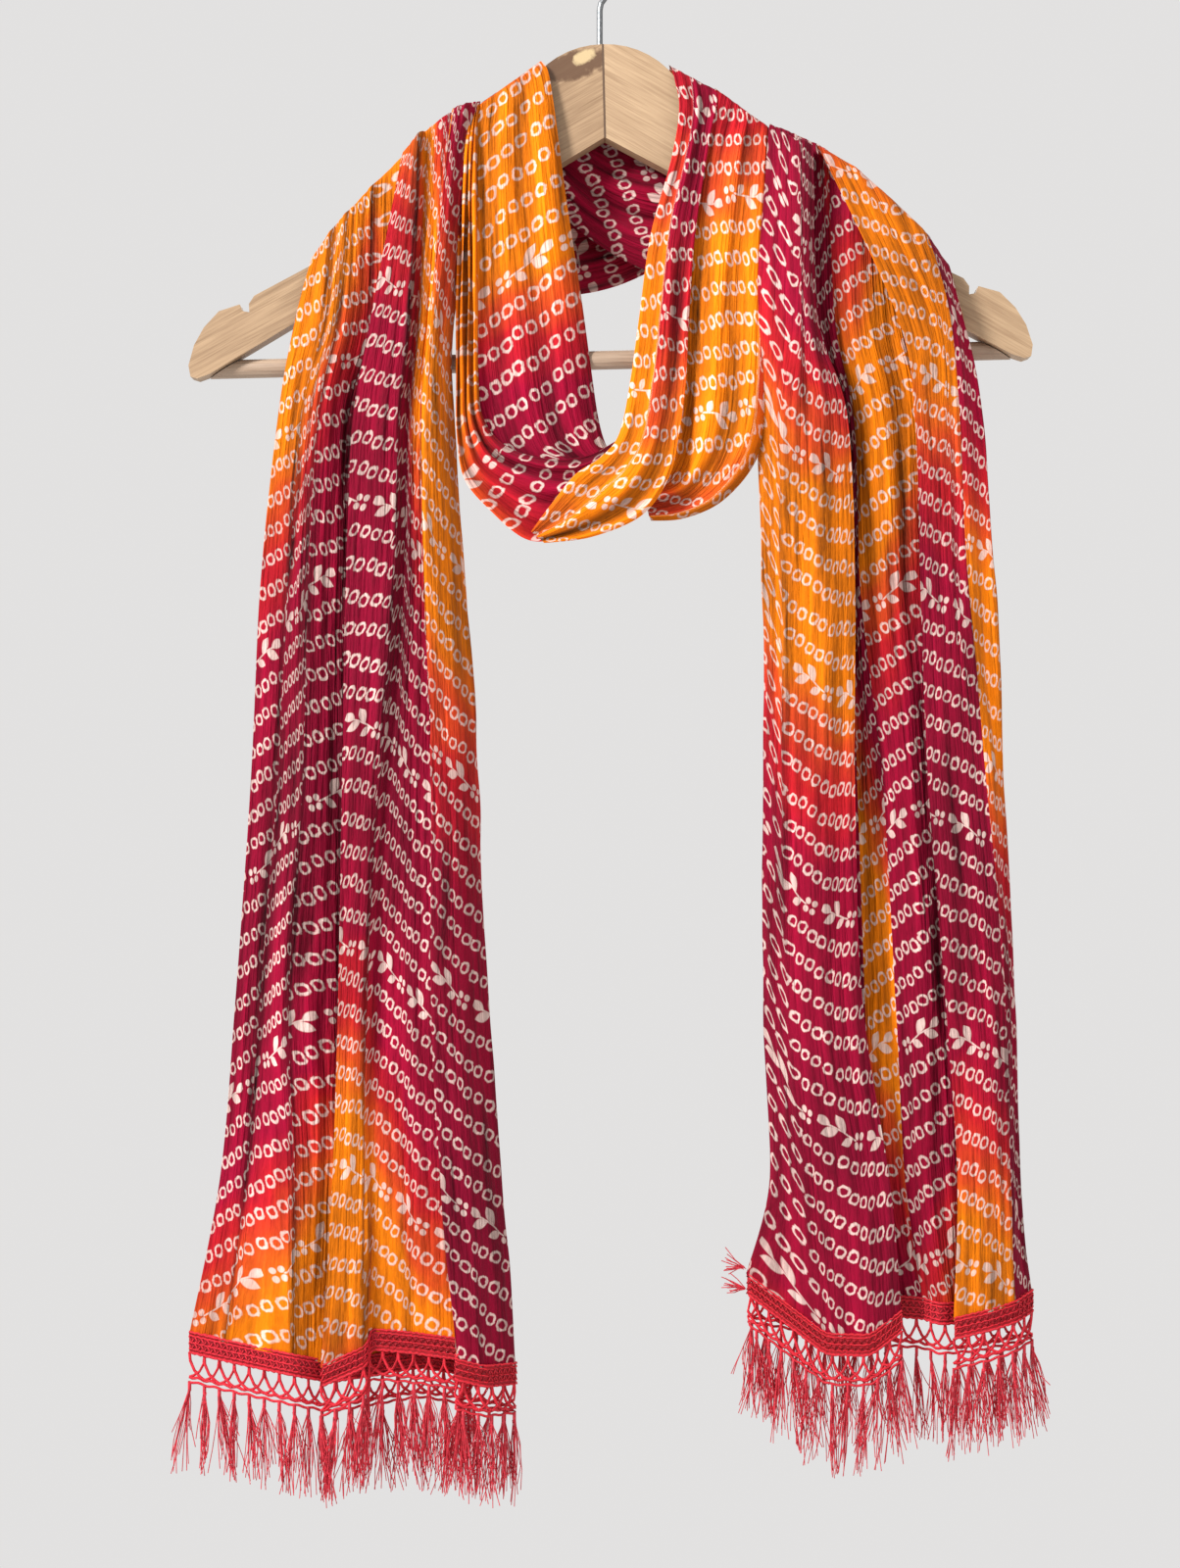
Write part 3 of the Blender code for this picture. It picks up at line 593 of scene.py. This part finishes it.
def printed_cloth(name, dim=1.0):
    """Dyed bands, rows of small tied rings and every seventh row a leafy vine, with painted shade from the creases
    and crinkles.
    """
    n = Nodes(name)
    uv = n.tree.nodes.new("ShaderNodeUVMap")
    uv.uv_map = "UVMap"
    split = n.node("ShaderNodeSeparateXYZ", Vector=uv.outputs[0])
    s = split.outputs[0]
    r = split.outputs[1]
    wander = n.node("ShaderNodeTexNoise", Vector=uv.outputs[0], Scale=28.0, Detail=3.0)
    bleed = n.math("MULTIPLY", n.math("SUBTRACT", wander.outputs[0], 0.5), 0.05)
    shift = n.tree.nodes.new("ShaderNodeAttribute")
    shift.attribute_name = "dye"
    place_r = n.math("ADD", n.math("ADD", r, bleed), shift.outputs["Fac"])
    phase = n.math("FRACT", n.math("DIVIDE", n.math("ADD", place_r, 0.095 + DYE_REPEAT), DYE_REPEAT))
    dye = n.ramp(phase, (
        (0.0, FLAME), (0.045, ORANGE), (0.225, ORANGE), (0.27, FLAME), (0.325, RED),
        (0.385, CRIMSON), (0.6, DEEP), (0.86, CRIMSON), (0.945, RED), (1.0, FLAME)))

    shake = n.math("MULTIPLY", n.math("SUBTRACT", wander.outputs[0], 0.5), 0.005)
    rows = n.math("DIVIDE", n.math("ADD", r, shake), ROW)
    row = n.math("FLOOR", rows)
    up = n.math("MULTIPLY", n.math("SUBTRACT", n.math("FRACT", rows), 0.5), ROW * 0.9)
    is_vine = n.math("COMPARE", n.math("FLOORED_MODULO", row, VINE_EVERY), 0.0, 0.1)
    rings = n.math("MULTIPLY", ring_marks(n, uv, s, up, row), n.math("SUBTRACT", 1.0, is_vine))
    vines = n.math("MULTIPLY", vine_marks(n, s, up), is_vine)
    worn = n.node("ShaderNodeTexNoise", Vector=uv.outputs[0], Scale=150.0, Detail=2.0)
    fading = n.math("ADD", 0.60, n.math("MULTIPLY", worn.outputs[0], 0.55))
    mark = n.math("MULTIPLY", n.math("ADD", rings, vines), fading)
    color = n.mix(mark, dye, n.mix(0.16, PALE, dye))

    heights = crinkle_heights(n)
    # Painted shade: the crease attribute darkens valleys and fold lines and lightens ridges in the colour.
    crease = n.tree.nodes.new("ShaderNodeAttribute")
    crease.attribute_name = "crease"
    crease_shade = n.math("SUBTRACT", crease.outputs["Fac"], 0.5)
    shade = n.math("ADD", 0.86 * dim, n.math("MULTIPLY", crease_shade, dim))
    # Painted shade and highlight: the crinkle noise also darkens and lightens the colour, besides driving the bump
    # below.
    for height, weight in zip(heights, (1.15, 0.8, 0.5)):
        shade = n.math("ADD", shade, n.math("MULTIPLY", height, weight * dim))
    toned = n.node("ShaderNodeHueSaturation", Color=color, Value=shade)
    n.link(toned.outputs[0], n.shader.inputs["Base Color"])
    n.shader.inputs["Roughness"].default_value = 0.78
    n.shader.inputs["Specular IOR Level"].default_value = 0.1
    n.shader.inputs["Sheen Weight"].default_value = 0.02
    n.shader.inputs["Sheen Roughness"].default_value = 0.4
    finer = n.math("ADD", n.math("MULTIPLY", heights[1], 0.45), n.math("MULTIPLY", heights[2], 0.12))
    bump = n.node("ShaderNodeBump", Height=n.math("ADD", heights[0], finer))
    bump.inputs["Strength"].default_value = 0.9
    bump.inputs["Distance"].default_value = 0.0035
    n.link(bump.outputs[0], n.shader.inputs["Normal"])
    return n.material


def thread(name, color, scale):
    n = Nodes(name)
    coords = n.tree.nodes.new("ShaderNodeTexCoord")
    grain = n.node("ShaderNodeTexNoise", Vector=coords.outputs["Object"], Scale=scale, Detail=3.0)
    dark = tuple(c * 0.6 for c in color[:3]) + (1,)
    n.link(n.ramp(grain.outputs[0], ((0.3, dark), (0.65, color))), n.shader.inputs["Base Color"])
    bump = n.node("ShaderNodeBump", Height=grain.outputs[0])
    bump.inputs["Distance"].default_value = 0.0006
    n.link(bump.outputs[0], n.shader.inputs["Normal"])
    n.shader.inputs["Roughness"].default_value = 0.7
    return n.material


def wood(name, light, dark, turn, knot=False):
    n = Nodes(name)
    coords = n.tree.nodes.new("ShaderNodeTexCoord")
    turned = n.node("ShaderNodeMapping", Vector=coords.outputs["Object"])
    turned.inputs["Rotation"].default_value = (0, math.radians(turn), 0)
    tone = None
    for scale, low, high in (((9, 60, 190), 0.30, 0.62), ((22, 200, 900), 0.34, 0.60)):
        drawn = n.node("ShaderNodeMapping", Vector=turned.outputs[0])
        drawn.inputs["Scale"].default_value = scale
        grain = n.node("ShaderNodeTexNoise", Vector=drawn.outputs[0], Scale=1.6, Detail=5.0, Distortion=0.6)
        layer = n.ramp(grain.outputs[0], ((low, dark), (high, light)))
        tone = layer if tone is None else n.mix(0.5, tone, layer)
    if knot:
        split = n.node("ShaderNodeSeparateXYZ", Vector=coords.outputs["Object"])
        rough = n.node("ShaderNodeTexNoise", Vector=coords.outputs["Object"], Scale=260.0, Detail=3.0)
        for cx, cz, wide, high, color in KNOT:
            dx = n.math("DIVIDE", n.math("SUBTRACT", split.outputs[0], cx), wide)
            dz = n.math("DIVIDE", n.math("SUBTRACT", split.outputs[2], cz), high)
            dz = n.math("SUBTRACT", dz, n.math("MULTIPLY", dx, 0.55))
            far = n.math("ADD", n.math("MULTIPLY", dx, dx), n.math("MULTIPLY", dz, dz))
            far = n.math("ADD", far, n.math("MULTIPLY", n.math("SUBTRACT", rough.outputs[0], 0.5), 2.6))
            tone = n.mix(n.math("MULTIPLY", n.below(far, 1.1, 0.8), 0.9), tone, color)
    n.link(tone, n.shader.inputs["Base Color"])
    n.shader.inputs["Roughness"].default_value = 0.5
    return n.material


crimson_print = printed_cloth("printed_cloth", 0.84)
trim_look = thread("trim_thread", (0.78, 0.010, 0.030, 1), 900.0)
# The ground colour is darker than the cords: painted shade in the hollows between the cords of the heading band.
ground_shade_look = thread("trim_ground_shade", (0.44, 0.004, 0.016, 1), 900.0)
fringe_look = thread("fringe_thread", (0.74, 0.03, 0.055, 1), 500.0)

pieces = {
    "tail_left": tail("cloth_tail_left", LEFT_FOLDS, LEFT_CREASES, LEFT_SHIFTS, 3, crimson_print),
    "tail_right": tail("cloth_tail_right", RIGHT_FOLDS, RIGHT_CREASES, RIGHT_SHIFTS, 17, crimson_print, 24.0),
    "loop_left": strand("cloth_loop_left", LOOP_LEFT, 130, 48, -0.22, 29, crimson_print),
    "loop_band": strand("cloth_loop_band", LOOP_BAND, 150, 36, 0.5, 41, crimson_print, 4.0, 0.3, (0.4, -75)),
    "loop_right": strand("cloth_loop_right", LOOP_RIGHT, 130, 44, 0.55, 53, crimson_print, turn=(0.84, -110)),
    "back_inner": back("cloth_back_inner", BACK_INNER, 61, 325, crimson_print),
    "back_outer": back("cloth_back_outer", BACK_OUTER, 71, 305, crimson_print),
}
lip = strand("cloth_loop_lip", LOOP_LIP, 130, 60, -0.4, 83, crimson_print, 7.0, 0.9)
for node, piece in pieces.items():
    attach(piece, "root")
    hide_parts(node)
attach(lip, "root")


class Threads:
    """Many thin three-sided threads gathered into one mesh."""

    def __init__(self):
        self.points = []
        self.faces = []
        self.grounds = 0

    def strip(self, upper, lower):
        base = len(self.points)
        self.points += [tuple(p) for pair in zip(upper, lower) for p in pair]
        for k in range(len(upper) - 1):
            i = base + 2 * k
            self.faces.append((i, i + 1, i + 3, i + 2))
        self.grounds = len(self.faces)

    def thread(self, path, radius):
        base = len(self.points)
        path = np.asarray(path, float)
        ahead = path[1:] - path[:-1]
        ahead = np.concatenate((ahead, ahead[-1:]))
        side = np.cross(ahead, (0.13, 1.0, 0.21))
        side /= np.maximum(np.linalg.norm(side, axis=1, keepdims=True), 1e-9)
        other = np.cross(side, ahead)
        other /= np.maximum(np.linalg.norm(other, axis=1, keepdims=True), 1e-9)
        for k in range(3):
            a = 2 * math.pi * k / 3
            self.points += [tuple(p) for p in path + (side * math.cos(a) + other * math.sin(a)) * radius]
        count = len(path)
        for k in range(3):
            here = base + k * count
            beside = base + (k + 1) % 3 * count
            for i in range(count - 1):
                self.faces.append((here + i, beside + i, beside + i + 1, here + i + 1))

    def build(self, name, look):
        mesh = bpy.data.meshes.new(name)
        mesh.from_pydata([(p[0] * MM, p[1] * MM, p[2] * MM) for p in self.points], [], self.faces)
        mesh.shade_smooth()
        obj = shown(name, mesh, look)
        if self.grounds:
            mesh.materials.append(ground_shade_look)
            threads = len(self.faces) - self.grounds
            mesh.polygons.foreach_set("material_index", [1] * self.grounds + [0] * threads)
        return obj


HEADING = 9.5
LATTICE = 13.0
CELL = 8.0
THREADS = 19
TUFT_THREADS = 14
TUFTS = ((76, -711), (76, -722))


def hem_walk(folds):
    grid = tail_grid(folds, TAIL_ROWS, TAIL_SPACING)[0]
    hem = grid[-1]
    length = np.concatenate(([0], np.cumsum(np.linalg.norm(np.diff(hem, axis=0), axis=1))))
    out = normals(grid)[-1]
    return hem, length, out


def trim(name, folds, seed, tufts=()):
    """Heading band, crossed lattice, knotted cord and tassels along a hem."""
    hem, length, out = hem_walk(folds)
    rng = np.random.default_rng(seed)

    def at(distance, drop, forward=0.0):
        distance = np.clip(distance, 0, length[-1])
        point = np.array([np.interp(distance, length, hem[:, k]) for k in range(3)])
        normal = np.array([np.interp(distance, length, out[:, k]) for k in range(3)])
        return point + normal * forward - np.array((0, 0, drop))

    work = Threads()
    stops = np.arange(0, length[-1], 1.6)
    # Two sheets of the heading band under the cords, coloured with the darker ground colour as painted shade.
    for side in (0.55, -0.55):
        work.strip([at(d, -1.5, side) for d in stops], [at(d, HEADING, side) for d in stops])
    knots = np.arange(0, length[-1], 1.7)
    for face in (1, -1):
        for drop, radius in ((-1.2, 0.7), (0.6, 0.6), (4.1, 0.65), (7.4, 0.6), (HEADING, 0.85)):
            work.thread([at(d, drop + 0.3 * math.sin(d * 2.2), 0.8 * face) for d in stops], radius)
        for low, high in ((3.6, 1.0), (7.0, 4.6)):
            work.thread([at(d, low if k % 2 else high, 1.0 * face) for k, d in enumerate(knots)], 0.5)
    cells = int(length[-1] / CELL)
    step = length[-1] / cells
    foot = HEADING + LATTICE
    for k in range(cells):
        for a, b in ((k, k + 1), (k + 1, k)):
            bow = 0.8 * math.sin(k * 2.1)
            turns = ((0, 0, 0), (0.06, 0.34, bow), (0.34, 0.7, bow), (0.75, 0.92, 0), (1, 1, 0))
            path = [at((a + (b - a) * f) * step, HEADING + LATTICE * h, out_by) for f, h, out_by in turns]
            work.thread(path, 0.9)
    work.thread([at(d, foot + 0.5 * math.sin(d * 0.9)) for d in stops], 0.95)
    work.thread([at(d, foot + 2.6 + 0.4 * math.sin(d * 0.7 + 1)) for d in stops], 0.8)
    band = work.build(name + "_braid", trim_look)
    work = Threads()
    for k in range(cells + 1):
        root = at(k * step, foot + 2.4)
        spread = rng.uniform(2.5, 9.0)
        swing = np.array((rng.normal(0, 3.2), rng.normal(0, 1.0), 0))
        knot = root - np.array((0, 0, 5.0))
        work.thread([root, root - np.array((0, 0, 2.4)), knot], 1.1)
        for t in range(THREADS):
            length_t = rng.uniform(28, 44) if t % 4 else rng.uniform(17, 30)
            aim = swing + np.array((rng.normal(0, spread * 0.55), rng.normal(0, 1.6), 0))
            bend = rng.normal(0, 1.1, 3) * (1, 0.6, 0)
            path = [knot + (rng.normal(0, 0.4), rng.normal(0, 0.4), 1.0)]
            for f in (0.35, 0.7, 1.0):
                wave = bend * math.sin(math.pi * f) * 1.4
                path.append(knot + aim * f + wave - np.array((0, 0, length_t * f)))
            work.thread(path, 0.27)
    for x, z in tufts:
        root = place(x, z, 21)
        for t in range(TUFT_THREADS):
            tip = root + (-9 + rng.normal(0, 1.5), rng.normal(0, 1.2), rng.normal(1.5, 3.0))
            work.thread([root + rng.normal(0, 0.4, 3), (root + tip) / 2 + rng.normal(0, 0.5, 3), tip], 0.28)
    return band, work.build(name + "_tassels", fringe_look)


for side, folds, seed, tufts in (("left", LEFT_FOLDS, 5, ()), ("right", RIGHT_FOLDS, 9, TUFTS)):
    band, tassels = trim("trim_" + side, folds, seed, tufts)
    for piece, node in ((band, "braid_" + side), (tassels, "fringe_" + side)):
        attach(piece, "root")
        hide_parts(node)

# The left arm's wood is darker than the right's: partly painted shade for the arms' faces turning differently to
# the light, partly the boards' own tone.
for node, look in (
        ("arm_left", wood("wood_left", (0.40, 0.262, 0.15, 1), (0.21, 0.122, 0.062, 1), 30, True)),
        ("arm_right", wood("wood_right", (0.46, 0.31, 0.18, 1), (0.26, 0.155, 0.08, 1), -30)),
        ("trouser_bar", wood("wood_bar", (0.44, 0.32, 0.225, 1), (0.25, 0.165, 0.11, 1), 0)),
        ("braid_left", trim_look), ("braid_right", trim_look),
        ("fringe_left", fringe_look), ("fringe_right", fringe_look)):
    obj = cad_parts[node]
    obj.data.materials.clear()
    obj.data.materials.append(look)

# The dark glue line runs up the mitre between the two arms
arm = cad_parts["arm_left"]
edge = [arm.matrix_world @ v.co for v in arm.data.vertices]
edge = [v for v in edge if v.x > -0.0015]
top_edge = min((v for v in edge if v.z > max(e.z for e in edge) - 0.003), key=lambda v: v.y)
low_edge = min((v for v in edge if v.z < min(e.z for e in edge) + 0.003), key=lambda v: v.y)
glue = bpy.data.meshes.new("glue_line")
corners = ((low_edge, -0.0003), (low_edge, 0.0007), (top_edge, 0.0007), (top_edge, -0.0003))
glue.from_pydata([(v.x + x, v.y - 0.0002, v.z) for v, x in corners], [], [(0, 1, 2, 3)])
seam = Nodes("glue_line")
seam.shader.inputs["Base Color"].default_value = (0.10, 0.055, 0.03, 1)
glue_line = shown("glue_line", glue, seam.material)
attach(glue_line, "root")

steel = Nodes("steel")
coords = steel.tree.nodes.new("ShaderNodeTexCoord")
scratch = steel.node("ShaderNodeTexNoise", Vector=coords.outputs["Object"], Scale=700.0)
steel.link(steel.ramp(scratch.outputs[0], ((0.3, (0.12, 0.125, 0.13, 1)), (0.7, (0.2, 0.205, 0.21, 1)))),
           steel.shader.inputs["Base Color"])
steel.shader.inputs["Metallic"].default_value = 0.8
steel.shader.inputs["Roughness"].default_value = 0.5
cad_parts["hook"].data.materials.clear()
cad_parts["hook"].data.materials.append(steel.material)


def floor():
    bm = bmesh.new()
    bmesh.ops.create_circle(bm, cap_ends=True, segments=64, radius=1.5)
    bmesh.ops.translate(bm, verts=bm.verts, vec=(0, 0, -1.4))
    mesh = bpy.data.meshes.new("floor")
    bm.to_mesh(mesh)
    bm.free()
    pale = Nodes("pale_floor")
    pale.shader.inputs["Base Color"].default_value = (0.75, 0.75, 0.75, 1)
    pale.shader.inputs["Roughness"].default_value = 0.9
    return shown("floor", mesh, pale.material)


def area_light(name, location, size, power):
    light = bpy.data.lights.new(name, "AREA")
    light.shape = "DISK"
    light.size = size
    light.energy = power
    obj = bpy.data.objects.new(name, light)
    obj.location = location
    aim = Vector((0, 0, -0.4)) - Vector(location)
    obj.rotation_euler = aim.to_track_quat("-Z", "Y").to_euler()
    bpy.context.scene.collection.objects.link(obj)


floor()
area_light("key", (-1.2, -1.1, 0.6), 0.45, 52)
area_light("fill", (1.3, -1.4, 0.1), 1.2, 4)
area_light("back", (0.2, 1.6, 0.8), 1.4, 9)
world = bpy.data.worlds.new("pale_room")
world.use_nodes = True
world.node_tree.nodes["Background"].inputs[0].default_value = (0.83, 0.82, 0.815, 1)
world.node_tree.nodes["Background"].inputs[1].default_value = 0.92
bpy.context.scene.world = world
bpy.context.scene.view_settings.view_transform = "Standard"

camera = bpy.data.cameras.new("camera")
camera.sensor_fit = "VERTICAL"
camera.angle = math.radians(34.1)
view = bpy.data.objects.new("camera", camera)
view.location = (-0.0052, -1.37, -0.4567)
view.rotation_euler = (math.radians(90), 0, 0)
bpy.context.scene.collection.objects.link(view)
bpy.context.scene.camera = view
